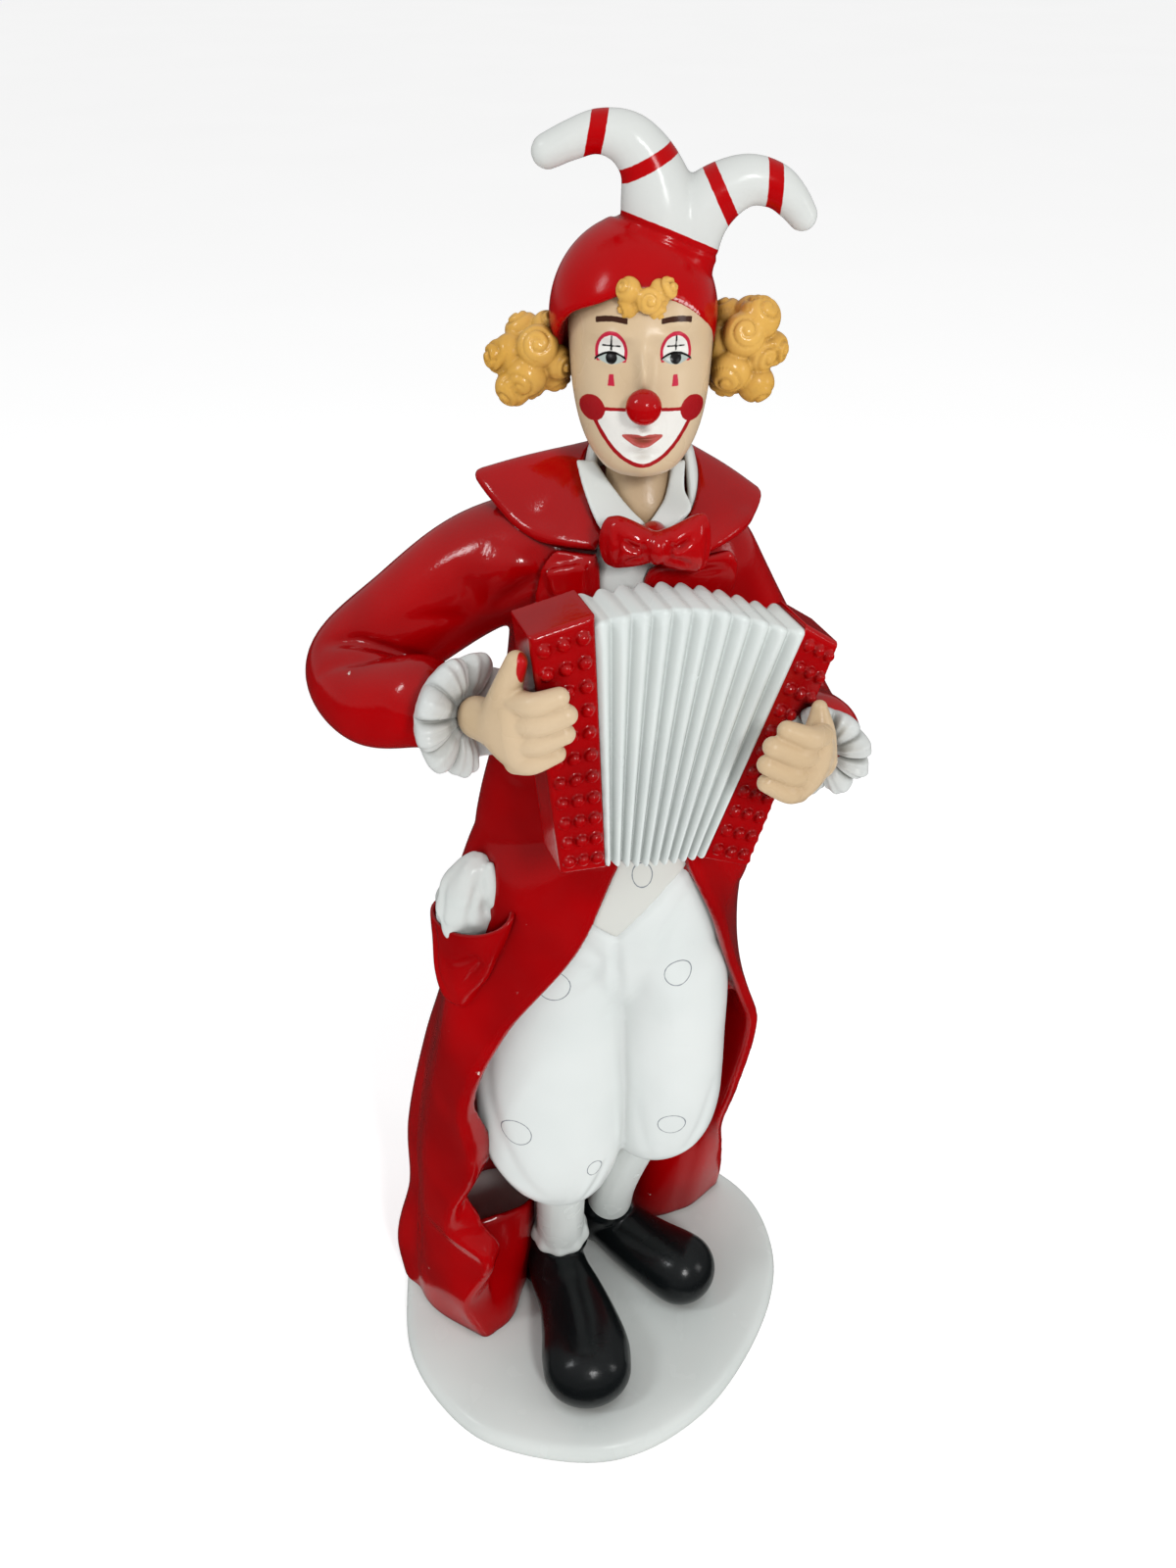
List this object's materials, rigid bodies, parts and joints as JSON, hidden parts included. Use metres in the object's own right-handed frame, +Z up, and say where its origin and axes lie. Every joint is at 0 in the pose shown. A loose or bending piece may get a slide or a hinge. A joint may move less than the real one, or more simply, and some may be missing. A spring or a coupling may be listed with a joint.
{
  "type": "clown figurine",
  "caption": "Standing painted clown figurine in a long tail coat and baggy trousers, playing an open squeeze box, cast together with its oval base.",
  "frame": {"origin": "middle of the flat underside of the base", "axes": "+Z up, the figure looks along -Y, +X towards its left hand"},
  "size_m": [0.1359, 0.1225, 0.3822],
  "materials": {
    "red_paint": "gloss",
    "white_paint": "satin",
    "black_paint": "gloss",
    "skin_paint": "satin",
    "hair_paint": "satin"
  },
  "bodies": {
    "root": {"clown_figurine": "red_paint"}
  },
  "joints": []
}
